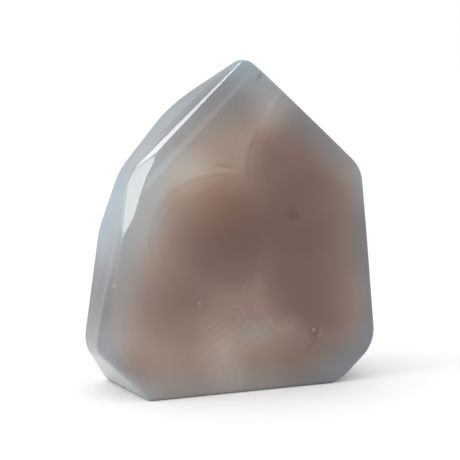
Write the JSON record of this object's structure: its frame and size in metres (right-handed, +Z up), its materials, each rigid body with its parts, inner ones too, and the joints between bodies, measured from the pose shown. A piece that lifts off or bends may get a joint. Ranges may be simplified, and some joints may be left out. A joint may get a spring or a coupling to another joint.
{
  "type": "polished agate freeform",
  "caption": "Polished freestanding agate stone with a pointed top, a broad flat front, bevelled edges and a flat foot to stand on.",
  "frame": {"origin": "middle of the stone's box at the level of its flat foot", "axes": "+Z up to the point, -Y the way the broad front face looks, +X to the right seen from the front"},
  "size_m": [0.0806, 0.0322, 0.0901],
  "materials": {
    "agate": "mirror-polished grey-brown banded agate, slightly translucent"
  },
  "bodies": {
    "root": {"agate_stone": "agate"}
  },
  "joints": []
}
